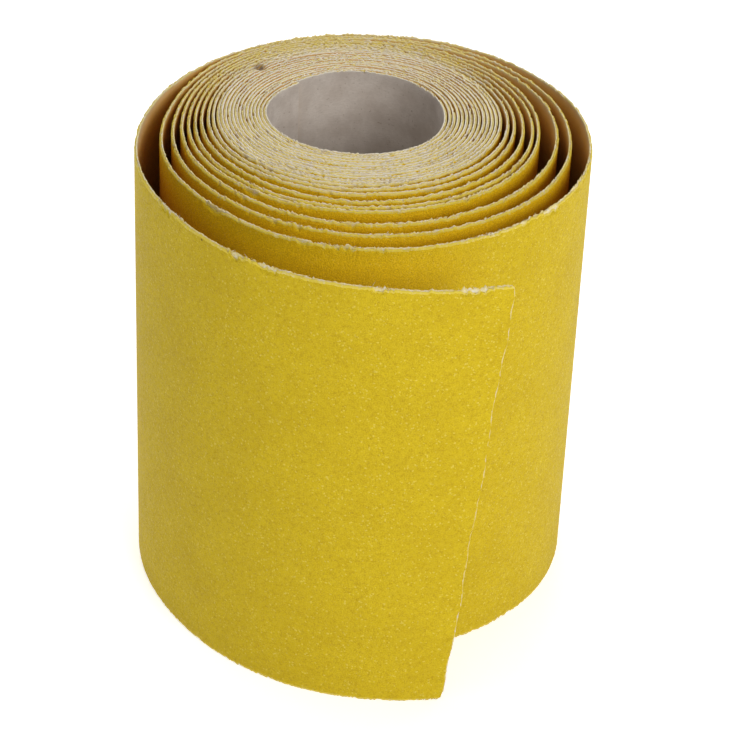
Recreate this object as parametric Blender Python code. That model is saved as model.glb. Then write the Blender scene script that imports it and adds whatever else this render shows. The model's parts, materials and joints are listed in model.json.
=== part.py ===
"""Roll of coated abrasive paper, 115 mm wide, standing on its cut edge.

One strip of abrasive paper is wound on itself with no core.  Its paper back
faces the bore and its grit coat faces out.  The inner turns are wound tight,
the outer turns have sprung open towards the front (-Y), and the last half
turn is a free tail.  The strip is made here in stretches, each a paper back
with its grit coat: the tight coil, every loose turn, and eight tail panels
that turn on upright hinges, so that the tail can be pulled out straight.
"""

from math import ceil, cos, floor, radians, sin

import bpy
import bmesh
from mathutils import Vector

# Driving dimensions, in metres
MM = 0.001
STRIP_WIDTH = 115.0 * MM
STRIP_THICKNESS = 0.82 * MM
LAYER_GAP = 0.06 * MM          # between the paper back and its grit coat
COAT_SETBACK = 0.3 * MM        # the torn paper stands proud of the coat at both cut edges
STRETCH_GAP = 0.5 * MM         # between one stretch of strip and the next
TAIL_SLANT = 10.7 * MM         # the tail is cut askew: its lower corner ends this much sooner
TAIL_PANELS = 8

# The strip's place is a running angle in degrees: it grows along the strip from the bore
# to the tail, 360 a turn, and its remainder is the direction seen from above (0 is +X).
TURN = 360
STATION_STEP = 45
START_ANGLE = 135
FRONT = 270
FIRST_STATION_TURN = 13        # the first row below is this many turns from the strip's start
HINGE_DIRECTION = 125          # the tail leaves the roll here, at the back
TAIL_DIRECTION = 295
COARSE_STEP = 15.0             # facet size of the tight coil and of the inner loose turns
FINE_STEP = 7.5                # facet size of the outer turns and of the tail
FINE_TURN = 19                 # the outer turns begin here

# Radius in millimetres of the bore, which is not quite round.
# Directions: 90    135   180   225   270   315   360   405
BORE_RADII = (21.4, 20.5, 21.6, 21.0, 20.4, 21.3, 20.7, 21.0)

# Radius in millimetres of the strip's middle, a row for each turn, beginning at the back.
# Directions:
#    90    135   180   225   270   315   360   405
TURN_RADII = (
    (34.0, 33.6, 33.4, 34.9, 36.0, 35.8, 35.1, 34.8),
    (35.0, 34.6, 34.5, 36.7, 37.9, 37.9, 36.8, 36.0),
    (36.0, 35.7, 35.7, 38.1, 40.1, 40.0, 38.4, 37.2),
    (37.0, 36.8, 37.1, 40.5, 43.9, 43.1, 40.4, 38.7),
    (38.0, 37.9, 38.5, 43.0, 46.7, 45.6, 42.7, 40.3),
    (39.0, 38.9, 39.9, 44.8, 48.6, 47.5, 44.1, 41.6),
    (40.0, 40.0, 41.3, 47.5, 54.1, 52.7, 48.2, 43.8),
    (41.0, 41.0, 42.9, 50.9, 58.9, 57.4, 51.1, 45.7),
    (42.0, 42.1, 44.9, 54.9, 64.9, 63.1, 55.6, 47.9),
    (43.1, 43.3, 49.5, 63.6, 81.4, 88.0, 84.0, 80.0),
)

# Worked out from the above
LAST_TURN = FIRST_STATION_TURN + len(TURN_RADII) - 1
COIL_END = FIRST_STATION_TURN * TURN + FRONT
LOOSE_TURNS = LAST_TURN - 1 - FIRST_STATION_TURN
OUTER_TURN_START = COIL_END + LOOSE_TURNS * TURN
HINGE_ANGLE = LAST_TURN * TURN + HINGE_DIRECTION
TAIL_ANGLE = LAST_TURN * TURN + TAIL_DIRECTION
LAYERS = {
    "paper": (-STRIP_THICKNESS / 2, -LAYER_GAP / 2, 0.0),
    "grit": (LAYER_GAP / 2, STRIP_THICKNESS / 2, COAT_SETBACK),
}


def clear_scene():
    for old in list(bpy.data.objects):
        bpy.data.objects.remove(old, do_unlink=True)


def make_material(name, colour, roughness):
    material = bpy.data.materials.new(name)
    material.use_nodes = True
    shader = material.node_tree.nodes["Principled BSDF"]
    shader.inputs["Base Color"].default_value = (*colour, 1.0)
    shader.inputs["Roughness"].default_value = roughness
    shader.inputs["Metallic"].default_value = 0.0
    return material


# The spiral -------------------------------------------------------------------------

def station_radius(index):
    """Radius at a station; stations are numbered from direction 90 of turn 0."""
    per_turn = TURN // STATION_STEP
    turn, direction = divmod(index, per_turn)
    row = turn - FIRST_STATION_TURN
    if row >= 0:
        return TURN_RADII[min(row, len(TURN_RADII) - 1)][direction] * MM
    # In the tight coil each direction grows evenly from the bore to the first row
    inner = BORE_RADII[direction] * MM + STRIP_THICKNESS / 2
    edge = TURN_RADII[0][direction] * MM
    first = (START_ANGLE - TURN // 4) // STATION_STEP
    share = (index - first) / (FIRST_STATION_TURN * per_turn + direction - first)
    return inner + (edge - inner) * share


def radius_at(angle):
    """Smooth radius at a running angle: a Catmull-Rom curve through the stations."""
    place = (angle - TURN // 4) / STATION_STEP
    index = floor(place)
    u = place - index
    a, b, c, d = (station_radius(index + k) for k in (-1, 0, 1, 2))
    return 0.5 * (
        2 * b
        + (c - a) * u
        + (2 * a - 5 * b + 4 * c - d) * u ** 2
        + (3 * b - a - 3 * c + d) * u ** 3
    )


def point_at(angle):
    r = radius_at(angle)
    return Vector((r * cos(radians(angle)), r * sin(radians(angle))))


def tangent_at(angle):
    half = 0.5
    return (point_at(angle + half) - point_at(angle - half)).normalized()


def offset_point(angle, offset):
    """A point beside the strip's middle; positive offsets lie away from the bore."""
    t = tangent_at(angle)
    return point_at(angle) + Vector((t.y, -t.x)) * offset


def columns(start, end):
    """Running angles of the facet edges from start to end, on one common grid."""
    step = FINE_STEP if start >= FINE_TURN * TURN + FRONT else COARSE_STEP
    first = floor(start / step + 0.25) + 1
    last = ceil(end / step - 0.25) - 1
    return [start] + [k * step for k in range(first, last + 1)] + [end]


def panel_bounds():
    """Running angles that share the tail's turning equally among its panels."""
    steps = 800
    angles = [HINGE_ANGLE + (TAIL_ANGLE - HINGE_ANGLE) * k / steps for k in range(steps + 1)]
    turned = [0.0]
    for a, b in zip(angles, angles[1:]):
        turned.append(turned[-1] + tangent_at(a).angle_signed(tangent_at(b)) * -1)
    bounds = [HINGE_ANGLE]
    for angle, amount in zip(angles, turned):
        if amount >= turned[-1] * len(bounds) / TAIL_PANELS and len(bounds) < TAIL_PANELS:
            bounds.append(angle)
    return bounds + [TAIL_ANGLE]


def stretches():
    """Name, start, end and slant of every stretch of the strip, from bore to tail."""
    cuts = [("coil", START_ANGLE, COIL_END)]
    for k in range(LOOSE_TURNS):
        start = COIL_END + k * TURN
        cuts.append((f"loose_turn_{k + 1}", start, start + TURN))
    cuts.append(("outer_turn", OUTER_TURN_START, HINGE_ANGLE))
    bounds = panel_bounds()
    for k in range(TAIL_PANELS):
        cuts.append((f"tail_{k + 1}", bounds[k], bounds[k + 1]))

    made = []
    for k, (name, start, end) in enumerate(cuts):
        if k > 0:
            start += degrees_of(STRETCH_GAP / 2, start)
        if k < len(cuts) - 1:
            made.append((name, start, end - degrees_of(STRETCH_GAP / 2, end), 0.0))
        else:
            made.append((name, start, end, degrees_of(TAIL_SLANT, end)))
    return made


def degrees_of(length, angle):
    """Running angle that covers a length of strip near a place."""
    per_degree = (point_at(angle) - point_at(angle - 1)).length
    return length / per_degree


# Solids -----------------------------------------------------------------------------

def layer_mesh(name, start, end, slant, layer, origin):
    """One layer of a stretch: a closed curved plate, with its cut edges up and down."""
    inner, outer, setback = LAYERS[layer]
    low, high = setback, STRIP_WIDTH - setback
    mesh = bmesh.new()
    rings = []
    for angle in columns(start, end - slant)[:-1] + [end]:
        foot = end - slant if angle == end else angle
        corners = [
            (offset_point(foot, inner), low),
            (offset_point(foot, outer), low),
            (offset_point(angle, outer), high),
            (offset_point(angle, inner), high),
        ]
        rings.append([mesh.verts.new((p.x - origin.x, p.y - origin.y, z)) for p, z in corners])
    for a, b in zip(rings, rings[1:]):
        for k in range(4):
            mesh.faces.new((a[k], b[k], b[(k + 1) % 4], a[(k + 1) % 4]))
    mesh.faces.new(rings[0])
    mesh.faces.new(rings[-1][::-1])
    bmesh.ops.recalc_face_normals(mesh, faces=mesh.faces)
    data = bpy.data.meshes.new(name)
    mesh.to_mesh(data)
    mesh.free()
    data.shade_smooth()
    data.set_sharp_from_angle(angle=radians(30))
    return data


def footprint_centre(parts):
    """Middle of the roll's outline seen from above, measured from the bore's centre."""
    xs, ys = [], []
    for _, start, end, slant in parts:
        for angle in columns(start, end - slant) + [end]:
            p = offset_point(angle, STRIP_THICKNESS / 2)
            xs.append(p.x)
            ys.append(p.y)
    return Vector(((min(xs) + max(xs)) / 2, (min(ys) + max(ys)) / 2))


def add_pivot(name, place, parent):
    pivot = bpy.data.objects.new(name, None)
    pivot.empty_display_size = 10 * MM
    bpy.context.collection.objects.link(pivot)
    pivot.parent = parent
    held = parent["place"] if parent else (0.0, 0.0)
    pivot.location = (place[0] - held[0], place[1] - held[1], 0.0)
    pivot["place"] = place
    return pivot


def add_stretch(part, pivot, bore, materials):
    """The paper back and the grit coat of one stretch, held by its pivot."""
    name, start, end, slant = part
    origin = Vector(pivot["place"]) + bore
    for layer, material in materials.items():
        node = f"{name}_{layer}"
        piece = bpy.data.objects.new(node, layer_mesh(node, start, end, slant, layer, origin))
        piece.data.materials.append(material)
        piece.parent = pivot
        bpy.context.collection.objects.link(piece)


def build():
    clear_scene()
    materials = {
        "paper": make_material("paper_back", (0.52, 0.45, 0.33), 0.9),
        "grit": make_material("grit_coat", (0.56, 0.39, 0.035), 0.75),
    }
    parts = stretches()
    bore = footprint_centre(parts)

    def from_centre(point):
        return (point[0] - bore.x, point[1] - bore.y)

    bore_axis = from_centre((0.0, 0.0))
    roll = add_pivot("roll", bore_axis, None)
    coil = add_pivot("coil_slide", bore_axis, roll)
    holder = roll
    for part in parts:
        if part[0] == "coil":
            add_stretch(part, coil, bore, materials)
        elif part[0].startswith("tail"):
            holder = add_pivot(part[0] + "_hinge", from_centre(point_at(part[1])), holder)
            add_stretch(part, holder, bore, materials)
        else:
            add_stretch(part, roll, bore, materials)


build()
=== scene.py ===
"""The looks of the abrasive paper roll: torn paper edges, grit coat, paper back and bends.

The strip is rebuilt in fine mesh along the same spiral as the CAD solids.  Places along the
strip are running angles in degrees (360 a turn, from the bore to the tail) or arc lengths.
Lengths are in metres, unless a comment says millimetres.
"""

import json
from math import cos, pi, radians, sin

import bpy
import numpy as np
from mathutils import Matrix, Vector


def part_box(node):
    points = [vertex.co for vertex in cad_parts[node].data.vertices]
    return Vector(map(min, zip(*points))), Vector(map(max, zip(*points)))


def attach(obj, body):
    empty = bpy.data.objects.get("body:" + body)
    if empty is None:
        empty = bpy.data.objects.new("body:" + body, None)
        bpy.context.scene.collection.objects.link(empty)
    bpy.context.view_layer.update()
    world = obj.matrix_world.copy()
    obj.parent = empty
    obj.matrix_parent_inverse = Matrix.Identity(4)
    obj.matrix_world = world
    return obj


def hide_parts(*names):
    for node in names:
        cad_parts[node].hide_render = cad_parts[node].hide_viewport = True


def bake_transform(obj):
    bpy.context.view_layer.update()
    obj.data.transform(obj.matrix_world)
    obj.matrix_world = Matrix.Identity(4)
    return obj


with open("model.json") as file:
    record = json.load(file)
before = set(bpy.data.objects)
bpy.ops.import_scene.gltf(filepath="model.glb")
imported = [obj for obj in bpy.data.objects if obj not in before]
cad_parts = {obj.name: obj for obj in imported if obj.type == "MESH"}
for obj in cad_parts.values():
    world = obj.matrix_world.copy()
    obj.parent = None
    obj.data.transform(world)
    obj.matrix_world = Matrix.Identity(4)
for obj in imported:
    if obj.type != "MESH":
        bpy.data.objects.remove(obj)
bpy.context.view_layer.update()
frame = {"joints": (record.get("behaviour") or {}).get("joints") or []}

MM = 0.001

# The strip, as in the CAD model -----------------------------------------------------------
STRIP_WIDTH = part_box("coil_paper")[1][2]
START_ANGLE = 135               # the strip's inner end, in the bore
FIRST_STATION_TURN = 13         # the first turn that has its own row of radii below
LOOSE_TURNS = 8
HINGE_DIRECTION = 125           # where the free tail begins
TAIL_DIRECTION = 295            # where it ends
TAIL_SLANT = 10.7 * MM          # the foot of its cut end lies this far short of the top
TAIL_PANELS = 8
STRIP_THICKNESS = 0.82 * MM
FIRST_DIRECTION = 90            # the radii below start here and follow at this step
STATION_STEP = 45
STATIONS_PER_TURN = 360 // STATION_STEP

# Radius in millimetres of the bore, at directions 90, 135, 180 ... 405
BORE_RADII = (21.4, 20.5, 21.6, 21.0, 20.4, 21.3, 20.7, 21.0)

# Radius in millimetres of the strip's middle at the same directions, a row for each turn
TURN_RADII = (
    (34.0, 33.6, 33.4, 34.9, 36.0, 35.8, 35.1, 34.8),
    (35.0, 34.6, 34.5, 36.7, 37.9, 37.9, 36.8, 36.0),
    (36.0, 35.7, 35.7, 38.1, 40.1, 40.0, 38.4, 37.2),
    (37.0, 36.8, 37.1, 40.5, 43.9, 43.1, 40.4, 38.7),
    (38.0, 37.9, 38.5, 43.0, 46.7, 45.6, 42.7, 40.3),
    (39.0, 38.9, 39.9, 44.8, 48.6, 47.5, 44.1, 41.6),
    (40.0, 40.0, 41.3, 47.5, 54.1, 52.7, 48.2, 43.8),
    (41.0, 41.0, 42.9, 50.9, 58.9, 57.4, 51.1, 45.7),
    (42.0, 42.1, 44.9, 54.9, 64.9, 63.1, 55.6, 47.9),
    (43.1, 43.3, 49.5, 63.6, 81.4, 88.0, 84.0, 80.0),
)
LAST_TURN = FIRST_STATION_TURN + len(TURN_RADII) - 1
HINGE_ANGLE = LAST_TURN * 360 + HINGE_DIRECTION
TAIL_ANGLE = LAST_TURN * 360 + TAIL_DIRECTION
END_ANGLE = TAIL_ANGLE + 0.7    # about 1 mm past the CAD's straight cut, then torn back
SAMPLE_STEP = 0.1               # degrees between samples of the strip's middle line

# Layers of the strip, as distances from its middle towards the outside
PAPER_BACK = -0.39 * MM
PAPER_FRONT = -0.01 * MM
COAT_BACK = 0.0 * MM
COAT_FRONT = 0.38 * MM

COLUMN_STEP = 0.4 * MM          # spacing of the mesh columns along the strip
WOBBLE = 0.012 * MM             # the turns are not quite even: height of each wave,
WOBBLE_WAVES = ((11.0, 0.3), (23.7, 1.1), (41.3, 2.9))     # and its period and phase


def all_stations():
    """Radii at every 45 degrees from direction 90 of turn 0 to past the tail."""
    radii = []
    first = (START_ANGLE - FIRST_DIRECTION) // STATION_STEP
    for index in range(STATIONS_PER_TURN * (LAST_TURN + 1)):
        turn, way = divmod(index, STATIONS_PER_TURN)
        row = turn - FIRST_STATION_TURN
        if row >= 0:
            radii.append(TURN_RADII[row][way])
        else:
            inner = BORE_RADII[way] + STRIP_THICKNESS / 2 / MM
            last = FIRST_STATION_TURN * STATIONS_PER_TURN + way
            share = (index - first) / (last - first)
            radii.append(inner + (TURN_RADII[0][way] - inner) * share)
    return np.array(radii) * MM


def radius_at(angle):
    """A smooth curve through the stations' radii (Catmull-Rom)."""
    place = (np.asarray(angle, float) - FIRST_DIRECTION) / STATION_STEP
    index = np.floor(place).astype(int)
    u = place - index
    a, b, c, d = (STATIONS[index + k] for k in (-1, 0, 1, 2))
    return 0.5 * (
        2 * b
        + (c - a) * u
        + (2 * a - 5 * b + 4 * c - d) * u ** 2
        + (3 * b - a - 3 * c + d) * u ** 3
    )


STATIONS = all_stations()


class Strip:
    """The strip's middle line, finely sampled, with its arc length and its normals."""

    def __init__(self):
        self.angle = np.arange(START_ANGLE, END_ANGLE + SAMPLE_STEP / 2, SAMPLE_STEP)
        radius = radius_at(self.angle)
        wobble = sum(
            WOBBLE * np.sin(self.angle / period + phase)
            for period, phase in WOBBLE_WAVES
        )
        loose = np.clip((self.angle - (FIRST_STATION_TURN + 1) * 360) / 360, 0, 1)
        radius = radius + wobble * (1 + loose)
        turn = np.radians(self.angle)
        self.x = radius * np.cos(turn)
        self.y = radius * np.sin(turn)
        dx, dy = np.gradient(self.x), np.gradient(self.y)
        step = np.hypot(dx, dy)
        self.nx, self.ny = dy / step, -dx / step
        pieces = np.hypot(np.diff(self.x), np.diff(self.y))
        self.arc = np.concatenate([[0.0], np.cumsum(pieces)])
        hinge = next(j for j in frame["joints"] if j["name"] == "tail_1_hinge")
        self.bore = np.array(hinge["pos_m"][:2]) - self.flat(self.arc_at(HINGE_ANGLE))

    def arc_at(self, angle):
        return float(np.interp(angle, self.angle, self.arc))

    def flat(self, arc, off=0.0):
        x, y, nx, ny = (np.interp(arc, self.arc, v) for v in (self.x, self.y, self.nx, self.ny))
        return np.stack([x + nx * off, y + ny * off], axis=-1)

    def point(self, arc, off, height):
        xy = self.flat(arc, off) + self.bore
        return np.concatenate([xy, np.broadcast_to(height, arc.shape)[..., None]], axis=-1)


STRIP = Strip()
LENGTH = STRIP.arc[-1]
COLUMNS = int(round(LENGTH / COLUMN_STEP)) + 1
COLUMN_ARC = np.linspace(0, LENGTH, COLUMNS)


# Unevenness along the strip, one value for each column ----------------------------------

RNG = np.random.default_rng(115)


def smooth_noise(reach, seed):
    """Noise between about -1 and 1 that changes over a length of strip."""
    rng = np.random.default_rng(seed)
    knots = np.arange(-reach, LENGTH + 2 * reach, reach)
    return np.interp(COLUMN_ARC, knots, rng.uniform(-1, 1, len(knots)))


def bumps(places, lengths, heights):
    """Rounded bumps of given length and height at places along the strip."""
    total = np.zeros(COLUMNS)
    for place, length, height in zip(places, lengths, heights):
        away = np.abs(COLUMN_ARC - place) / (length / 2)
        total = np.maximum(total, height * np.clip(1.25 - away ** 3, 0, 1))
    return total


# The larger chips along the upper edge: running angle, length and depth in millimetres
EDGE_CHIPS = (
    (8151.0, 4.0, 0.6),
    (7797.5, 6.0, 0.7),
    (8170.5, 2.5, 0.6),
    (8176.5, 3.5, 0.6),
    (7821.0, 2.5, 0.4),
    (7829.0, 4.0, 0.5),
    (7869.0, 3.0, 0.4),
    (7877.0, 6.0, 1.2),
    (7888.0, 3.0, 0.6),
    (7892.5, 1.2, 0.7),
    (7896.5, 1.2, 0.9),
    (7900.5, 1.2, 0.7),
    (8209.5, 8.0, 0.5),
    (8195.0, 2.5, 0.4),
)

CHIP_LENGTHS = (0.5, 2.2)       # millimetres, for the small chips spread at random
CHIP_SIZES = (0.1, 0.75)        # their depths in millimetres, before this power is taken
CHIP_POWER = 1.8
TOOTH_LENGTHS = (0.7, 1.1)      # millimetres, for the torn teeth
SMALL_TEETH = (0.05, 0.28)
LARGE_TEETH = (0.35, 0.75)
LARGE_SPACING = 1.7 * MM
LARGE_SHIFT = 0.4               # millimetres, how unevenly the large ones are spaced
TORN_FROM, TORN_TO = 7887.0, 7906.0     # between these angles the teeth are large


def chip_profile(seed, per_metre, marked):
    """Depth of the coat that has broken away at one edge."""
    rng = np.random.default_rng(seed)
    count = int(per_metre * LENGTH)
    places = list(rng.uniform(0, LENGTH, count))
    lengths = list(rng.uniform(*CHIP_LENGTHS, count) * MM)
    heights = list(rng.uniform(*CHIP_SIZES, count) ** CHIP_POWER * MM)
    for angle, length, depth in marked:
        places.append(STRIP.arc_at(angle))
        lengths.append(length * MM)
        heights.append(depth * MM)
    return bumps(places, lengths, heights) * (1 + 0.45 * smooth_noise(0.5 * MM, seed + 20))


def teeth_profile(seed, per_metre):
    """Height of the torn teeth along the loose turns' upper edge."""
    rng = np.random.default_rng(seed)
    first = STRIP.arc_at(FIRST_STATION_TURN * 360)
    count = int((LENGTH - first) * per_metre)
    places = list(rng.uniform(first, LENGTH, count))
    heights = list(rng.uniform(*SMALL_TEETH, count) * MM)
    big = np.arange(STRIP.arc_at(TORN_FROM), STRIP.arc_at(TORN_TO), LARGE_SPACING)
    places += list(big + rng.uniform(-LARGE_SHIFT, LARGE_SHIFT, len(big)) * MM)
    heights += list(rng.uniform(*LARGE_TEETH, len(big)) * MM)
    lengths = rng.uniform(*TOOTH_LENGTHS, len(places)) * MM
    return bumps(places, lengths, heights)


# In the noises below the number in front is a size in millimetres, or a share for RAGGED;
# then come the noise's reach and its seed
TOP_TEETH = teeth_profile(21, 260)
TOP_CHIPS = chip_profile(3, 90, EDGE_CHIPS)
FOOT_CHIPS = 0.6 * chip_profile(4, 30, ())
TOP_LINE = (
    0.16 * smooth_noise(40 * MM, 10)
    + 0.09 * smooth_noise(9 * MM, 11)
    + 0.06 * smooth_noise(1.1 * MM, 12)
) * MM + TOP_TEETH
MARKED = [STRIP.arc_at(chip[0]) for chip in EDGE_CHIPS]
RAGGED = (                      # some stretches are torn more than others
    0.75
    + 0.5 * smooth_noise(6 * MM, 14)
    + bumps(MARKED, [9 * MM] * len(MARKED), [0.5] * len(MARKED))
)
FOOT_LINE = (0.05 + 0.04 * smooth_noise(7 * MM, 13)) * MM
BARE_LINE = (                   # how far the coat's upper edge stops short of the paper's
    0.10
    + 0.06 * smooth_noise(0.8 * MM, 15)
    + 0.14 * np.clip(smooth_noise(4 * MM, 16), 0, 1)
) * MM

# A dent pressed into the top of the tight turns
DENT_DIRECTION = 138.0
DENT_RADIUS = 33.3 * MM
DENT_REACH = 1.8 * MM
DENT_DEPTH = 0.9 * MM
DENT_FALL = 1.6                 # how fast it fades outwards
DENT_BAND = 3 * MM              # it stays within this distance of the upper edge


def dent_at(points):
    """How strongly the dent reaches each point, from 0 to 1."""
    a = radians(DENT_DIRECTION)
    centre = STRIP.bore + DENT_RADIUS * np.array([cos(a), sin(a)])
    away = np.hypot(*(np.moveaxis(points[..., :2] - centre, -1, 0))) / DENT_REACH
    return np.exp(-away ** 2 * DENT_FALL) * (points[..., 2] > STRIP_WIDTH - DENT_BAND)


# Cross-sections --------------------------------------------------------------------------
# Each point: distance from the middle, the edge it hangs from ("top", "foot" or "mid"),
# its distance from that edge (or its share of the plain part of the face), roughness, and
# the material of the face that follows it round the section.

def face_rows(away, levels, upwards):
    """Rows over the plain part of a face, from one edge towards the other."""
    shares = [k / levels for k in range(levels + 1)] if levels else []
    return [(away, "mid", share if upwards else 1 - share, 0.0, 0) for share in shares]


def paper_section(levels, hidden):
    b, f = PAPER_BACK, PAPER_FRONT
    return (
        [(b, "foot", 0.5 * MM, 0.3, 0), (b, "foot", 2.2 * MM, 0.0, 0)]
        + face_rows(b, levels, True)
        + [
            (b, "top", 2.2 * MM, 0.0, 0),
            (b, "top", 0.9 * MM, 0.0, 0),
            (b, "top", 0.45 * MM, 0.4, 1),
            (b * 0.93, "top", 0.10 * MM, 0.8, 1),
            (b * 0.62, "top", -0.02 * MM, 1.0, 1),
            (b * 0.28, "top", 0.03 * MM, 1.0, 1),
            (f, "top", 0.16 * MM, 0.7, 1),
            (f, "top", 0.9 * MM, 0.0, 1),
            (f, "top", 2.6 * MM, 0.0, 1),
        ]
        + [(*row[:4], 1) for row in face_rows(f, hidden, False)]
        + [
            (f, "foot", 2.2 * MM, 0.0, 1),
            (f, "foot", 0.15 * MM, 0.5, 1),
            (b * 0.5, "foot", 0.02 * MM, 0.8, 1),
            (b * 0.93, "foot", 0.10 * MM, 0.6, 1),
        ]
    )


def coat_section(levels, hidden):
    b, f = COAT_BACK, COAT_FRONT
    return (
        [(b, "foot", 0.12 * MM, 0.4, 0), (b, "foot", 2.5 * MM, 0.0, 0)]
        + face_rows(b, hidden, True)
        + [
            (b, "top", 2.5 * MM, 0.0, 0),
            (b, "top", 0.14 * MM, 0.5, 2),
            (f * 0.25, "top", 0.0 * MM, 1.0, 2),
            (f * 0.55, "top", 0.10 * MM, 1.0, 2),
            (f * 0.85, "top", 0.28 * MM, 1.0, 2),
            (f * 0.97, "top", 0.52 * MM, 0.8, 0),
            (f, "top", 0.9 * MM, 0.5, 0),
            (f, "top", 1.5 * MM, 0.2, 0),
            (f, "top", 3.0 * MM, 0.0, 0),
        ]
        + face_rows(f, levels, False)
        + [
            (f, "foot", 2.5 * MM, 0.0, 0),
            (f, "foot", 0.6 * MM, 0.4, 2),
            (f * 0.7, "foot", 0.05 * MM, 0.9, 2),
        ]
    )


OWN_ROWS = 15                   # the last jitter row, after these, is shared by all rows
JITTER = {
    "paper": RNG.normal(0, 1, (COLUMNS, 2, OWN_ROWS + 1)),
    "coat": RNG.normal(0, 1, (COLUMNS, 2, OWN_ROWS + 1)),
}
JAG_OUT = 0.045 * MM            # size of the raggedness through the strip's thickness,
JAG_UP = 0.165 * MM             # and up and down
OWN_SHAKE = 0.4                 # each row of the torn edge moves a little by itself,
SHARED_SHAKE = 0.85             # but most of its raggedness is shared by all its rows
PACK_END = STRIP.arc_at(FIRST_STATION_TURN * 360)     # up to here the turns lie tight
THIN_REACH = 0.7 * MM           # this near the edge the coat thins out where it has chipped,
THIN_FROM = 0.25 * MM           # fully so where the chip is this deep,
THIN_SHARE = 0.8                # by this share of its thickness,
THINNEST = 0.02 * MM            # and never thinner than this
COAT_DROP = 0.05 * MM           # the coat ends a little below the torn paper
CORNER_ROUND = 2.0 * MM         # the tail's lower corner is worn round
UPPER_CORNER = 2.4 * MM         # and its upper corner too, from this far below the edge,
UPPER_LOSS = 1.3 * MM           # by this much along the strip
TIP_LENGTH = 17.6 * MM          # the tail's last, stiff stretch
MID_MARGIN = 5.5 * MM           # the plain part of the face starts this far from its edges
EDGE_DROP = 0.1 * MM            # the torn edge's middle line lies this far below full width
TIGHT_DEPTH = 0.6 * MM          # in the tight turns the rows this near the edge
TIGHT_SQUASH = 0.65             # are drawn towards it by this share,
TIGHT_FADE = 150 * MM           # which fades over this length of strip
FLOOR_GAP = 0.01 * MM


def column_points(kind, first, last, levels, hidden):
    """Arc length, height and distance from the middle of each vertex, and the section."""
    section = (paper_section if kind == "paper" else coat_section)(levels, hidden)
    here = slice(first, last + 1)
    count = last + 1 - first
    top = STRIP_WIDTH - EDGE_DROP + TOP_LINE[here]
    foot = FOOT_LINE[here]
    if kind == "coat":
        top = top - BARE_LINE[here] - TOP_CHIPS[here]
        foot = foot + COAT_DROP + FOOT_CHIPS[here]
    off = np.zeros((count, len(section)))
    height = np.zeros((count, len(section)))
    rough_index = 0
    tight = np.interp(COLUMN_ARC[here], (PACK_END, PACK_END + TIGHT_FADE), (1, 0))
    for k, (away, edge, drop, rough, _) in enumerate(section):
        off[:, k] = away
        thins = kind == "coat" and edge == "top" and drop < THIN_REACH
        if edge == "top" and drop < TIGHT_DEPTH:
            drop = drop * (1 - TIGHT_SQUASH * tight)
        if edge == "mid":
            height[:, k] = MID_MARGIN + (STRIP_WIDTH - 2 * MID_MARGIN) * drop
            continue
        shake = OWN_SHAKE * JITTER[kind][here, :, rough_index % OWN_ROWS]
        shake = (shake + SHARED_SHAKE * JITTER[kind][here, :, OWN_ROWS]) * RAGGED[here, None]
        rough_index += 1
        if thins:
            off[:, k] *= 1 - THIN_SHARE * np.clip(TOP_CHIPS[here] / THIN_FROM, 0, 1)
        off[:, k] += shake[:, 0] * JAG_OUT * rough
        if kind == "coat" and away > 0:
            off[:, k] = np.maximum(off[:, k], THINNEST)
        else:
            off[:, k] = np.minimum(off[:, k], COAT_BACK)
        if edge == "top":
            height[:, k] = top - drop + shake[:, 1] * JAG_UP * rough
        else:
            height[:, k] = np.maximum(foot + drop + shake[:, 1] * JAG_UP * rough, FLOOR_GAP)
    arc = np.repeat(COLUMN_ARC[here, None], len(section), axis=1)
    return arc, height, off, section


CUT_KNOTS = 400
CUT_NOISE = np.random.default_rng(77).uniform(-1, 1, CUT_KNOTS)
CUT_BACK = 0.3 * MM             # the cut edge lies this far short of the mesh's end at its top
CUT_WAVES = ((0.25, 6.1, 0.4), (0.12, 1.9, 2.0))   # size and reach in millimetres, and phase
CUT_ROUGH = 0.09 * MM           # finer raggedness of the cut, and its reach
CUT_ROUGH_REACH = 0.5 * MM
CUT_BARE = 0.28 * MM            # the coat stops this far short of the paper's cut end,
COAT_ROUGH = 0.18 * MM          # give or take this much, over this reach
COAT_ROUGH_REACH = 1.1 * MM


def cut_edge(height, kind):
    """How far the tail's cut edge lies short of the strip's end at a height."""
    slant = TAIL_SLANT * (1 - height / STRIP_WIDTH)
    ragged = sum(
        size * MM * np.sin(height / (reach * MM) + phase)
        for size, reach, phase in CUT_WAVES
    )
    knots = np.arange(CUT_KNOTS)
    ragged += CUT_ROUGH * np.interp(height, knots * CUT_ROUGH_REACH, CUT_NOISE)
    worn = np.clip(1 - height / CORNER_ROUND, 0, 1)
    back = slant + CUT_BACK + ragged + CORNER_ROUND * (1 - np.sqrt(1 - worn ** 2)) * 0.8
    worn = np.clip(1 - (STRIP_WIDTH - height) / UPPER_CORNER, 0, 1)
    back = back + UPPER_LOSS * (1 - np.sqrt(1 - worn ** 2))
    if kind == "coat":
        rough = np.interp(height, knots * COAT_ROUGH_REACH, CUT_NOISE[::-1])
        back = back + CUT_BARE + COAT_ROUGH * rough
    return back


def slant_tail(arc, height, kind):
    """Moves the tip's columns back so that they end on the slanting cut edge."""
    share = np.clip((arc - (LENGTH - TIP_LENGTH)) / TIP_LENGTH, 0, 1)
    return arc - share * cut_edge(height, kind)


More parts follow.
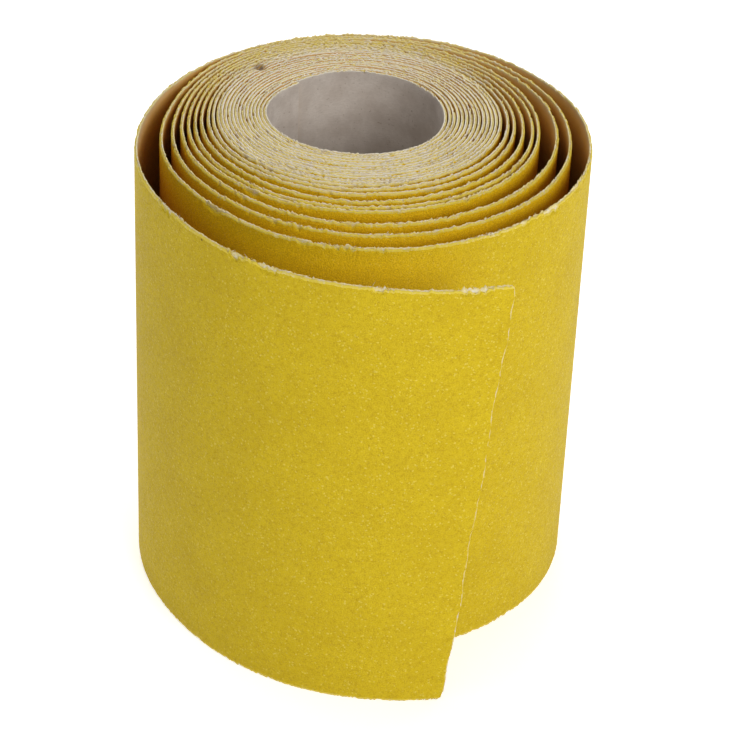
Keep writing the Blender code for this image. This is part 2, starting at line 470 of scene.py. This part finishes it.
def make_mesh(name, kind, first, last, levels, materials):
    """One layer of the strip as a closed mesh, from one column to another."""
    tip = last == COLUMNS - 1
    arc, height, off, section = column_points(kind, first, last, levels, levels if tip else 0)
    if tip:
        arc = slant_tail(arc, height, kind)
    points = STRIP.point(arc, off, height)
    bruise = dent_at(points)
    points[..., 2] -= bruise * DENT_DEPTH
    rows, ring = arc.shape
    index = np.arange(rows * ring).reshape(rows, ring)
    a, b = index[:-1], index[1:]
    quads = np.stack([a, np.roll(a, -1, 1), np.roll(b, -1, 1), b], axis=-1).reshape(-1, 4)
    mesh = bpy.data.meshes.new(name)
    caps = [face[::-1] for face in end_faces(index[0], height[0])]
    caps += end_faces(index[-1], height[-1])
    mesh.from_pydata(points.reshape(-1, 3).tolist(), [], quads.tolist() + caps)
    face_slots = np.tile([point[4] for point in section], rows - 1)
    slots = np.concatenate([face_slots, [face_slots[-1]] * len(caps)]).astype(np.int32)
    mesh.polygons.foreach_set("material_index", slots)
    mesh.polygons.foreach_set("use_smooth", np.ones(len(slots), bool))
    place = np.stack([arc, height, off], axis=-1).reshape(-1, 3)
    keep_place(mesh, place, bruise.reshape(-1))
    for material in materials:
        mesh.materials.append(material)
    mesh.update()
    sharpen_ends(mesh, index)
    return mesh


def end_faces(ring, height):
    """Triangles that close the strip's end, laced from its back face to its front face."""
    low, high = 0, len(ring) - 1
    faces = []
    while high - low > 1:
        if height[low + 1] <= height[high - 1]:
            faces.append([ring[low], ring[low + 1], ring[high]])
            low += 1
        else:
            faces.append([ring[low], ring[high - 1], ring[high]])
            high -= 1
    return faces


def sharpen_ends(mesh, index):
    """Keeps the flat ends of a piece out of the shading of its long faces."""
    edges = np.zeros(len(mesh.edges) * 2, np.int32)
    mesh.edges.foreach_get("vertices", edges)
    edges = edges.reshape(-1, 2)
    ring = index.shape[1]
    step = np.abs(edges[:, 0] - edges[:, 1])
    around = (step == 1) | (step == ring - 1)
    ends = (edges.max(axis=1) < ring) | (edges.min(axis=1) >= index[-1, 0])
    sharp = mesh.attributes.new("sharp_edge", "BOOLEAN", "EDGE")
    sharp.data.foreach_set("value", ends & around)


def keep_place(mesh, place, bruise):
    """Keeps each vertex's place on the unrolled strip for the materials."""
    attribute = mesh.attributes.new("strip_place", "FLOAT_VECTOR", "POINT")
    attribute.data.foreach_set("vector", place.astype(np.float32).ravel())
    attribute = mesh.attributes.new("bruise", "FLOAT", "POINT")
    attribute.data.foreach_set("value", bruise.astype(np.float32))


# Loose bits: torn fibres on the edges and grains proud of the coat ------------------------

FIBRES_PER_MM = 2.6
FIBRE_SHARES = (("top", 1.7), ("foot", 0.12))      # of that number, at each edge
FIBRE_ROOT = 0.16 * MM          # fibres start this far inside the edge
FIBRE_WIDTHS = (0.045, 0.10)    # millimetres
RAGGEDEST = 1.3                 # where the edge is this ragged, every fibre is kept
SPINDLE_WAIST = 0.35            # how far along a fibre its thickest place lies
GRAIN_SIZES = (0.06, 0.13)      # millimetres
GRAIN_SINK = 0.03 * MM          # how deep the grains' middles lie under the coat's face


def slivers(roots, tips, widths, rng):
    """Closed thin spindles from root to tip: five vertices and six triangles each."""
    axis = tips - roots
    length = np.linalg.norm(axis, axis=1, keepdims=True)
    axis = axis / length
    side = np.cross(axis, rng.normal(0, 1, axis.shape))
    side /= np.linalg.norm(side, axis=1, keepdims=True)
    other = np.cross(axis, side)
    waist = roots + axis * length * SPINDLE_WAIST
    ring = []
    for k in range(3):
        turn = 2 * pi * k / 3
        ring.append(waist + (side * cos(turn) + other * sin(turn)) * widths[:, None])
    points = np.stack([roots, ring[0], ring[1], ring[2], tips], axis=1)
    base = np.arange(len(roots))[:, None, None] * 5
    shape = np.array([(0, 2, 1), (0, 3, 2), (0, 1, 3), (4, 1, 2), (4, 2, 3), (4, 3, 1)])
    return points.reshape(-1, 3), (base + shape).reshape(-1, 3)


def fibre_tufts(first, last, rng):
    """Torn paper fibres standing out of the upper edge, and fewer at the lower."""
    span = (last - first) * COLUMN_STEP
    groups = []
    for edge, share in FIBRE_SHARES:
        spot = rng.integers(first, last, int(span / MM * FIBRES_PER_MM * share))
        spot = spot[rng.uniform(0, 1, len(spot)) < (RAGGED[spot] / RAGGEDEST) ** 2]
        count = len(spot)
        arc = COLUMN_ARC[spot] + rng.uniform(0, COLUMN_STEP, count)
        off = rng.uniform(PAPER_BACK * 0.95, COAT_FRONT * 0.35, count)
        length = rng.gamma(2.2, 0.16, count).clip(0.12, 1.2) * MM
        length = length * RAGGED[spot].clip(0.5, RAGGEDEST)
        lean = rng.normal(0, 1, (count, 3))
        if edge == "top":
            height = STRIP_WIDTH - FIBRE_ROOT + TOP_LINE[spot]
            rise = np.abs(lean[:, 2]) * 0.5
        else:
            height = FIBRE_ROOT + FOOT_LINE[spot]
            rise = -np.abs(lean[:, 2]) * 0.1
        tip_arc = arc + lean[:, 0] * length * 0.75
        tip_off = np.maximum(off + lean[:, 1] * length * 0.32, PAPER_BACK)
        tip_height = np.maximum(height + rise * length, 2 * FLOOR_GAP)
        groups.append((arc, off, height, tip_arc, tip_off, tip_height))
    return [np.concatenate(parts) for parts in zip(*groups)]


def grains(first, last, low, high, per_mm2, rng):
    """Places of grains that stand proud of the coat between two heights."""
    span = (last - first) * COLUMN_STEP
    count = int(span * (high - low) / MM ** 2 * per_mm2)
    arc = COLUMN_ARC[first] + rng.uniform(0, span, count)
    height = rng.uniform(low, high, count)
    return arc, height


def join_bits(mesh_object, points, faces, place, slot):
    """Adds loose closed bits to a piece's mesh."""
    mesh = mesh_object.data
    extra = bpy.data.meshes.new(mesh.name + "_bits")
    extra.from_pydata(points.tolist(), [], faces.tolist())
    extra.polygons.foreach_set("material_index", np.full(len(faces), slot, np.int32))
    keep_place(extra, place, np.zeros(len(points)))
    for material in mesh.materials:
        extra.materials.append(material)
    other = bpy.data.objects.new(extra.name, extra)
    bpy.context.collection.objects.link(other)
    with bpy.context.temp_override(
        active_object=mesh_object,
        object=mesh_object,
        selected_objects=[mesh_object, other],
        selected_editable_objects=[mesh_object, other],
    ):
        bpy.ops.object.join()


def add_fibres(piece, first, last, rng):
    arc, off, height, tip_arc, tip_off, tip_height = fibre_tufts(first, last, rng)
    if last == COLUMNS - 1:
        arc = slant_tail(arc, height, "paper")
        tip_arc = slant_tail(tip_arc, tip_height, "paper")
    roots = STRIP.point(arc, off, height)
    tips = STRIP.point(tip_arc, tip_off, tip_height)
    points, faces = slivers(roots, tips, rng.uniform(*FIBRE_WIDTHS, len(arc)) * MM, rng)
    place = np.stack([arc, height, off], axis=-1).repeat(5, axis=0)
    join_bits(piece, points, faces, place, 1)


def add_grains(piece, first, last, low, high, per_mm2, rng):
    arc, height = grains(first, last, low, high, per_mm2, rng)
    if last == COLUMNS - 1:
        arc = slant_tail(arc, height, "coat")
    count = len(arc)
    centre = STRIP.point(arc, np.full(count, COAT_FRONT - GRAIN_SINK), height)
    size = rng.uniform(*GRAIN_SIZES, count)[:, None, None] * MM
    corners = rng.normal(0, 1, (count, 4, 3))
    corners -= corners.mean(axis=1, keepdims=True)
    corners /= np.linalg.norm(corners, axis=2, keepdims=True)
    volume = np.einsum(
        "ij,ij->i",
        corners[:, 1] - corners[:, 0],
        np.cross(corners[:, 2] - corners[:, 0], corners[:, 3] - corners[:, 0]),
    )
    flip = volume < 0
    corners[flip] = corners[flip][:, [1, 0, 2, 3]]
    points = (centre[:, None] + corners * size).reshape(-1, 3)
    base = np.arange(count)[:, None, None] * 4
    shape = np.array([(0, 2, 1), (0, 1, 3), (1, 2, 3), (0, 3, 2)])
    place = np.stack([arc, height, np.full(count, COAT_FRONT)], axis=-1).repeat(4, axis=0)
    join_bits(piece, points, (base + shape).reshape(-1, 3), place, 1)


# Materials --------------------------------------------------------------------------------
# They read each point's place on the unrolled strip.  Noise scales are cells a metre: at 2600
# a cell is about 0.4 mm across.

class Nodes:
    """A short way to build a node tree."""

    def __init__(self, name):
        self.material = bpy.data.materials.new(name)
        self.material.use_nodes = True
        self.tree = self.material.node_tree
        self.shader = self.tree.nodes["Principled BSDF"]

    def add(self, kind, inputs=(), **settings):
        node = self.tree.nodes.new(kind)
        for key, value in settings.items():
            setattr(node, key, value)
        for key, value in dict(inputs).items():
            if isinstance(value, bpy.types.NodeSocket):
                self.tree.links.new(value, node.inputs[key])
            else:
                node.inputs[key].default_value = value
        return node

    def place(self):
        return self.add("ShaderNodeAttribute", attribute_name="strip_place").outputs["Vector"]

    def stretched(self, scale):
        node = self.add(
            "ShaderNodeMapping", {"Vector": self.place(), "Scale": scale}, vector_type="POINT"
        )
        return node.outputs["Vector"]

    def noise(self, vector, scale, detail=2.0, roughness=0.5):
        node = self.add(
            "ShaderNodeTexNoise",
            {"Vector": vector, "Scale": scale, "Detail": detail, "Roughness": roughness},
        )
        return node.outputs["Fac"]

    def ramp(self, value, low, high, start=0.0, end=1.0):
        node = self.add(
            "ShaderNodeMapRange",
            {"Value": value, "From Min": low, "From Max": high, "To Min": start, "To Max": end},
        )
        return node.outputs["Result"]

    def mix(self, share, first, second):
        node = self.add("ShaderNodeMix", data_type="RGBA")
        for socket, value in ((0, share), (6, first), (7, second)):
            if isinstance(value, bpy.types.NodeSocket):
                self.tree.links.new(value, node.inputs[socket])
            elif socket == 0:
                node.inputs[socket].default_value = value
            else:
                node.inputs[socket].default_value = (*value, 1.0)
        return node.outputs[2]

    def math(self, operation, first, second):
        node = self.add("ShaderNodeMath", operation=operation)
        for k, value in enumerate((first, second)):
            if isinstance(value, bpy.types.NodeSocket):
                self.tree.links.new(value, node.inputs[k])
            else:
                node.inputs[k].default_value = value
        return node.outputs[0]

    def bump(self, height, distance, strength=1.0, under=None):
        inputs = {"Height": height, "Distance": distance, "Strength": strength}
        if under is not None:
            inputs["Normal"] = under
        return self.add("ShaderNodeBump", inputs).outputs["Normal"]

    def finish(self, colour, roughness, normal, specular):
        links = self.tree.links
        links.new(colour, self.shader.inputs["Base Color"])
        links.new(roughness, self.shader.inputs["Roughness"])
        links.new(normal, self.shader.inputs["Normal"])
        self.shader.inputs["Specular IOR Level"].default_value = specular
        return self.material


PAINTED_DEEP_SHADE = (0.36, 0.085, 0.003)  # painted shade, where next to no outside light arrives
BRUISE_BROWN = (0.17, 0.10, 0.06)
SPECK_BROWN = (0.10, 0.06, 0.01)
NEAR_REACH = 14 * MM            # how far round a point the painted shade feels for shelter, on paper and torn edges
FAR_REACH = 45 * MM             # and on the coat


def paint_bounce_and_shade(n, colour, glow, share, reach=NEAR_REACH):
    """Paints bounce light and shade: warms the colour deep between the turns, where only light
    off yellow grit arrives, and darkens it where next to none arrives.
    """
    opening = n.add("ShaderNodeAmbientOcclusion", {"Distance": reach}, samples=6)
    # painted shade: the more hidden a point is from open space, the more the painted colour
    # covers it
    depth = n.ramp(opening.outputs["AO"], 0.15, 0.8, share, 0.0)
    glow = n.mix(n.ramp(opening.outputs["AO"], 0.03, 0.22, 0.85, 0.0), glow, PAINTED_DEEP_SHADE)
    height = n.add("ShaderNodeSeparateXYZ", {"Vector": n.place()}).outputs["Y"]
    # the painted shade fades out towards the foot, so that the floor's shelter doesn't tint it
    above_floor = n.ramp(height, 0.2 * STRIP_WIDTH, 0.4 * STRIP_WIDTH)
    return n.mix(n.math("MULTIPLY", depth, above_floor), colour, glow)


def bruised(n, colour):
    """Browns whatever lies in the dent."""
    bruise = n.add("ShaderNodeAttribute", attribute_name="bruise").outputs["Fac"]
    return n.mix(n.ramp(bruise, 0.1, 0.7, 0.0, 0.9), colour, BRUISE_BROWN)


def specked(n, place, colour):
    """A few tiny dark specks, some centimetres apart."""
    spots = n.add("ShaderNodeTexVoronoi", {"Vector": place, "Scale": 45.0, "Randomness": 1.0})
    near = n.ramp(spots.outputs["Distance"], 0.010, 0.016, 0.85, 0.0)
    return n.mix(near, colour, SPECK_BROWN)


def grit_coat(name, gloss=0.0):
    """Yellow resin over closely packed grains: fine relief, mottling, small painted glints,
    painted shade in pits, and painted bounce light and shade between the turns.
    """
    n = Nodes(name)
    place = n.place()
    cells = n.add(
        "ShaderNodeTexVoronoi", {"Vector": place, "Scale": 2600.0, "Randomness": 1.0}
    )
    fine = n.noise(place, 3300.0, 3.0, 0.65)
    mottle = n.noise(place, 850.0, 3.0, 0.6)
    cloud = n.noise(place, 70.0, 2.0, 0.5)
    deep = (0.43, 0.288, 0.005)
    bright = (0.615, 0.458, 0.013)
    pale = (0.72, 0.61, 0.13)
    dark = (0.33, 0.20, 0.005)
    colour = n.mix(n.ramp(fine, 0.36, 0.66), deep, bright)
    colour = n.mix(n.ramp(mottle, 0.34, 0.66, 0.0, 0.6), colour, bright)
    colour = n.mix(n.ramp(cloud, 0.35, 0.7, 0.0, 0.25), colour, deep)
    random = n.add("ShaderNodeSeparateColor", {"Color": cells.outputs["Color"]})
    # painted highlight: a few grain cells get a pale colour as glints
    painted_glint = n.ramp(random.outputs[0], 0.95, 0.97)
    colour = n.mix(n.math("MULTIPLY", painted_glint, 0.4), colour, pale)
    # painted shade: a few grain cells get darker, as if shaded in pits
    painted_pit_shade = n.ramp(random.outputs[2], 0.95, 0.97)
    colour = n.mix(n.math("MULTIPLY", painted_pit_shade, 0.3), colour, dark)
    colour = specked(n, place, colour)
    # painted bounce light and shade: deep between the turns the coat is painted amber, then
    # nearly dark
    painted_bounce_deep, painted_bounce_bright = (0.66, 0.37, 0.003), (1.0, 0.66, 0.007)
    glow = n.mix(n.ramp(fine, 0.36, 0.66), painted_bounce_deep, painted_bounce_bright)
    colour = paint_bounce_and_shade(n, colour, glow, 0.95, FAR_REACH)
    colour = bruised(n, colour)
    roughness = n.ramp(random.outputs[1], 0.0, 1.0, 0.5 - gloss, 0.85 - gloss)
    relief = n.math("ADD", n.math("MULTIPLY", cells.outputs["Distance"], -0.6), fine)
    normal = n.bump(relief, 0.22 * MM, 0.7)
    normal = n.bump(mottle, 0.18 * MM, 0.4, normal)
    return n.finish(colour, roughness, normal, 0.12)


def paper_back(name):
    """Smooth grey-beige heavy paper with faint fibres and flecks, and painted bounce light and
    shade deep between the turns.
    """
    n = Nodes(name)
    place = n.place()
    fibre = n.noise(n.stretched((900.0, 2600.0, 2600.0)), 1.0, 3.0, 0.6)
    cross = n.noise(n.stretched((2600.0, 800.0, 2600.0)), 1.0, 3.0, 0.6)
    cloud = n.noise(place, 150.0, 4.0, 0.6)
    fleck = n.noise(place, 1500.0, 2.0, 0.5)
    light, middle, dark = (0.60, 0.54, 0.485), (0.52, 0.46, 0.405), (0.40, 0.335, 0.285)
    fleck_brown, painted_bounce_amber = (0.30, 0.24, 0.19), (0.74, 0.40, 0.025)
    colour = n.mix(n.ramp(fibre, 0.35, 0.7), middle, light)
    colour = n.mix(n.ramp(cross, 0.4, 0.75, 0.0, 0.5), colour, light)
    colour = n.mix(n.ramp(cloud, 0.38, 0.66, 0.0, 0.55), colour, dark)
    colour = n.mix(n.ramp(fleck, 0.66, 0.74, 0.0, 0.6), colour, fleck_brown)
    # painted bounce light and shade: amber deep between the turns, nearly dark deeper still
    colour = paint_bounce_and_shade(n, colour, painted_bounce_amber, 1.0)
    roughness = n.ramp(cloud, 0.3, 0.7, 0.8, 0.95)
    normal = n.bump(n.math("ADD", fibre, cross), 0.04 * MM, 0.5)
    return n.finish(colour, roughness, normal, 0.2)


def torn_edge(name, pale, yellow, tight_dust, loose_dust):
    """Fluffy torn edge, pale where the paper is clean and yellow where grit dust clings, with
    painted bounce light and shade deep between the turns.
    """
    n = Nodes(name)
    place = n.place()
    fluff = n.noise(place, 2600.0, 3.0, 0.65)
    dust = n.noise(place, 1700.0, 3.0, 0.6)
    shade = tuple(0.8 * c for c in pale)
    painted_bounce_straw = (0.50, 0.34, 0.06)
    colour = n.mix(n.ramp(fluff, 0.3, 0.7), shade, pale)
    along = n.add("ShaderNodeSeparateXYZ", {"Vector": place}).outputs["X"]
    loose_from = STRIP.arc_at(FIRST_STATION_TURN * 360)
    loose_to = STRIP.arc_at((FIRST_STATION_TURN + 4) * 360)
    cover = n.ramp(along, loose_from, loose_to, tight_dust, loose_dust)
    patch = n.noise(place, 260.0, 2.0, 0.5)
    edge = n.math("ADD", dust, n.math("MULTIPLY", cover, 0.3))
    edge = n.math("ADD", edge, n.math("MULTIPLY", patch, 0.5))
    faded = n.mix(n.ramp(along, loose_from, loose_to, 0.45, 0.0), yellow, pale)
    colour = n.mix(n.ramp(edge, 0.77, 1.02), colour, faded)
    # painted bounce light and shade deep between the turns
    colour = paint_bounce_and_shade(n, colour, painted_bounce_straw, 0.6)
    colour = bruised(n, colour)
    roughness = n.ramp(fluff, 0.3, 0.7, 0.85, 1.0)
    normal = n.bump(fluff, 0.10 * MM, 0.6)
    return n.finish(colour, roughness, normal, 0.15)


# Pieces -----------------------------------------------------------------------------------

PAPER_MATERIALS = [
    paper_back("paper_back_fibres"),
    torn_edge("torn_paper_edge", (0.74, 0.69, 0.60), (0.66, 0.55, 0.22), 0.36, 0.74),
]
COAT_MATERIALS = [
    grit_coat("grit_coat_yellow"),
    grit_coat("proud_grains", gloss=0.1),
    torn_edge("crumbled_coat_edge", (0.72, 0.63, 0.32), (0.64, 0.50, 0.06), 0.55, 0.95),
]


def column_of(angle):
    return int(round(STRIP.arc_at(angle) / COLUMN_STEP))


def add_piece(name, kind, first, last, levels, seed, grain_band, grain_density):
    materials = PAPER_MATERIALS if kind == "paper" else COAT_MATERIALS
    mesh = make_mesh(name, kind, first, last, levels, materials)
    piece = bpy.data.objects.new(name, mesh)
    bpy.context.collection.objects.link(piece)
    rng = np.random.default_rng(seed)
    if kind == "paper":
        add_fibres(piece, first, last, rng)
    elif grain_band:
        add_grains(piece, first, last, *grain_band, grain_density, rng)
    return piece


TAIL_SAMPLES = 801


def panel_angles():
    """The tail's panels share its turning equally; these are their ends."""
    angle = np.linspace(HINGE_ANGLE, TAIL_ANGLE, TAIL_SAMPLES)
    arc = np.interp(angle, STRIP.angle, STRIP.arc)
    ahead, behind = STRIP.flat(arc + 0.5 * MM), STRIP.flat(arc - 0.5 * MM)
    way = np.unwrap(np.arctan2(*(ahead - behind)[:-1, ::-1].T))
    goals = np.linspace(way[0], way[-1], TAIL_PANELS + 1)
    return np.interp(goals, way, angle[:-1])


PACK_SPLIT_TURN = 8             # the tight turns are one mesh up to here and another beyond
BORE_TURN_END = START_ANGLE + 400
LEAD_START = FIRST_STATION_TURN * 360 + 180     # the stretch between the coil and the rest
LEAD_END = FIRST_STATION_TURN * 360 + 330

# Heights between which grains stand proud: the whole face, or where only its top can be seen
WHOLE_FACE = (1.5 * MM, STRIP_WIDTH - 1.5 * MM)
UPPER_FACE = (STRIP_WIDTH - 16 * MM, STRIP_WIDTH - 1.2 * MM)
TAIL_LEVELS = 14                # rows of faces up the tail and the outermost turn,
TIP_LEVELS = 150                # and up the tip, whose cut edge is torn
TAIL_GRAINS = 0.4               # grains to the square millimetre


def build_strip():
    """Makes every piece of the strip, hangs each piece that a single body carries from that
    body, and hides the CAD parts they replace.
    """
    panel_columns = [column_of(angle) for angle in panel_angles()]
    middles = [(a + b) // 2 for a, b in zip(panel_columns, panel_columns[1:])]
    tail_start = 2 * panel_columns[0] - middles[0]
    middles[-1] = COLUMNS - 1 - int(round(TIP_LENGTH / COLUMN_STEP))
    turn_ends = [column_of(LEAD_END + 360 * k) for k in range(LOOSE_TURNS + 1)]
    bore_end, pack_split = column_of(BORE_TURN_END), column_of(PACK_SPLIT_TURN * 360)
    lead = column_of(LEAD_START)

    # name, first and last column, bodies, the CAD part it replaces, levels, grain band, density
    plan = [
        ("bore_turn", 0, bore_end, ("coil",), None, 12, None, 0),
        ("coil_pack_inner", bore_end, pack_split, ("coil",), "coil", 2, None, 0),
        ("coil_lead", lead, turn_ends[0], ("coil", "roll"), None, 6, UPPER_FACE, 0.3),
    ]
    for k in range(1, LOOSE_TURNS + 1):
        band, density = (WHOLE_FACE, 0.25) if k == LOOSE_TURNS else (UPPER_FACE, 0.35)
        name = f"loose_turn_{k}"
        plan.append((name, turn_ends[k - 1], turn_ends[k], ("roll",), name, 8, band, density))
    facing = (TAIL_LEVELS, WHOLE_FACE, TAIL_GRAINS)
    plan += [
        ("outer_turn", turn_ends[-1], tail_start, ("roll",), "outer_turn", *facing),
        ("tail_lead", tail_start, middles[0], ("roll", "tail_1"), "tail_1", *facing),
    ]
    for k in range(1, TAIL_PANELS):
        before, after = f"tail_{k}", f"tail_{k + 1}"
        plan.append(
            (f"tail_bend_{k}", middles[k - 1], middles[k], (before, after), after, *facing)
        )
    plan += [
        ("tail_tip", middles[-1], COLUMNS - 1, (f"tail_{TAIL_PANELS}",), None,
         TIP_LEVELS, WHOLE_FACE, TAIL_GRAINS),
        ("coil_pack_outer", pack_split, lead, ("coil",), None, 2, None, 0),
    ]

    for seed, (name, first, last, bodies, node, levels, band, density) in enumerate(plan):
        for kind, layer, side in (("paper", "paper", "back"), ("coat", "grit", "coat")):
            piece = add_piece(
                f"{name}_{side}", kind, first, last, levels, seed * 2 + (kind == "coat"),
                band, density,
            )
            if len(bodies) == 2:
                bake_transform(piece)
            else:
                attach(piece, bodies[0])
            if node:
                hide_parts(f"{node}_{layer}")


# Floor, light and camera --------------------------------------------------------------------

FLOOR_GLOW = 0.42               # the floor is lit from below, so that it is nearly white,
FAR_GLOW = 0.75                 # and more so far off, where the lamps don't reach
GLOW_FROM, GLOW_TO = 1.2, 3.5   # between these distances from the roll
FLOOR_REACH = 8.0               # to the front and to the sides
BACK, RISE, BEND = 1.6, 2.2, 0.8        # the backdrop: distance, height and radius of its sweep
SWEEP_STEPS = 12
FLOOR_DEPTH = 0.02 * MM         # the floor lies this far under the roll


def floor_material():
    n = Nodes("pale_floor")
    spot = n.add("ShaderNodeTexCoord").outputs["Object"]
    grain = n.noise(spot, 60.0, 4.0, 0.6)
    colour = n.mix(n.ramp(grain, 0.3, 0.7), (0.885, 0.885, 0.885), (0.90, 0.90, 0.90))
    roughness = n.ramp(grain, 0.3, 0.7, 0.75, 0.9)
    n.shader.inputs["Emission Color"].default_value = (*WHITE, 1.0)
    away = n.add("ShaderNodeVectorMath", {0: spot}, operation="LENGTH").outputs["Value"]
    glow = n.ramp(away, GLOW_FROM, GLOW_TO, FLOOR_GLOW, FAR_GLOW)
    n.tree.links.new(glow, n.shader.inputs["Emission Strength"])
    return n.finish(colour, roughness, n.bump(grain, 0.02 * MM, 0.2), 0.2)


def add_floor():
    """A pale floor that sweeps up into a backdrop."""
    profile = [(-FLOOR_REACH, 0.0), (BACK, 0.0)]
    for k in range(1, SWEEP_STEPS + 1):
        turn = pi / 2 * k / SWEEP_STEPS
        profile.append((BACK + BEND * sin(turn), BEND * (1 - cos(turn))))
    profile.append((BACK + BEND, RISE))
    points = [(x, y, z - FLOOR_DEPTH) for y, z in profile for x in (-FLOOR_REACH, FLOOR_REACH)]
    faces = [(2 * k, 2 * k + 1, 2 * k + 3, 2 * k + 2) for k in range(len(profile) - 1)]
    mesh = bpy.data.meshes.new("floor")
    mesh.from_pydata(points, [], faces)
    mesh.polygons.foreach_set("use_smooth", np.ones(len(faces), bool))
    mesh.materials.append(floor_material())
    floor = bpy.data.objects.new("floor", mesh)
    bpy.context.collection.objects.link(floor)


WHITE = (1.0, 1.0, 1.0)
WORLD_LIGHT = 0.22
SOFTBOXES = (                   # name, place, side of the square, power in watts and colour
    ("key_softbox", (0.68, -1.02, 0.72), 0.7, 12.0, (1.0, 0.99, 0.97)),
    ("top_softbox", (-0.22, 0.1, 1.15), 0.9, 4.9, WHITE),
    ("fill_softbox", (-0.9, -0.8, 0.5), 0.6, 0.15, (1.0, 0.95, 0.9)),
    ("back_softbox", (-0.1, 1.2, 0.75), 0.8, 6.0, WHITE),
)


def add_lights():
    """Square lamps that face the middle of the roll, and an even light all round."""
    middle = Vector((0.0, 0.0, STRIP_WIDTH / 2))
    for name, place, size, power, colour in SOFTBOXES:
        light = bpy.data.lights.new(name, "AREA")
        light.shape = "RECTANGLE"
        light.size = size
        light.size_y = size
        light.energy = power
        light.color = colour
        holder = bpy.data.objects.new(name, light)
        bpy.context.collection.objects.link(holder)
        holder.location = place
        holder.rotation_euler = (middle - Vector(place)).to_track_quat("-Z", "Y").to_euler()
    world = bpy.data.worlds.new("studio")
    world.use_nodes = True
    surround = world.node_tree.nodes["Background"]
    surround.inputs["Color"].default_value = (*WHITE, 1.0)
    surround.inputs["Strength"].default_value = WORLD_LIGHT
    bpy.context.scene.world = world


CAMERA_FROM_BORE = (0.0063, -0.591, 0.422)     # the camera's place from the foot of the bore
CAMERA_PITCH = radians(32.85)
CAMERA_ROLL = radians(2.48)
CAMERA_LENS = 132.55            # millimetres


def add_camera():
    """Looks level along the y axis, pitched down, then rolled a little."""
    ahead = Vector((0.0, cos(CAMERA_PITCH), -sin(CAMERA_PITCH)))
    right = Vector((1.0, 0.0, 0.0))
    above = right.cross(ahead)
    c, s = cos(CAMERA_ROLL), sin(CAMERA_ROLL)
    x_axis, y_axis = c * right + s * above, c * above - s * right
    data = bpy.data.cameras.new("camera")
    data.lens = CAMERA_LENS
    data.clip_start = 0.01
    camera = bpy.data.objects.new("camera", data)
    bpy.context.collection.objects.link(camera)
    turn = Matrix((x_axis, y_axis, -ahead)).transposed().to_4x4()
    bore = Vector((*STRIP.bore, 0.0))
    camera.matrix_world = Matrix.Translation(bore + Vector(CAMERA_FROM_BORE)) @ turn
    bpy.context.scene.camera = camera


build_strip()
add_floor()
add_lights()
add_camera()
bpy.context.scene.view_settings.view_transform = "Standard"
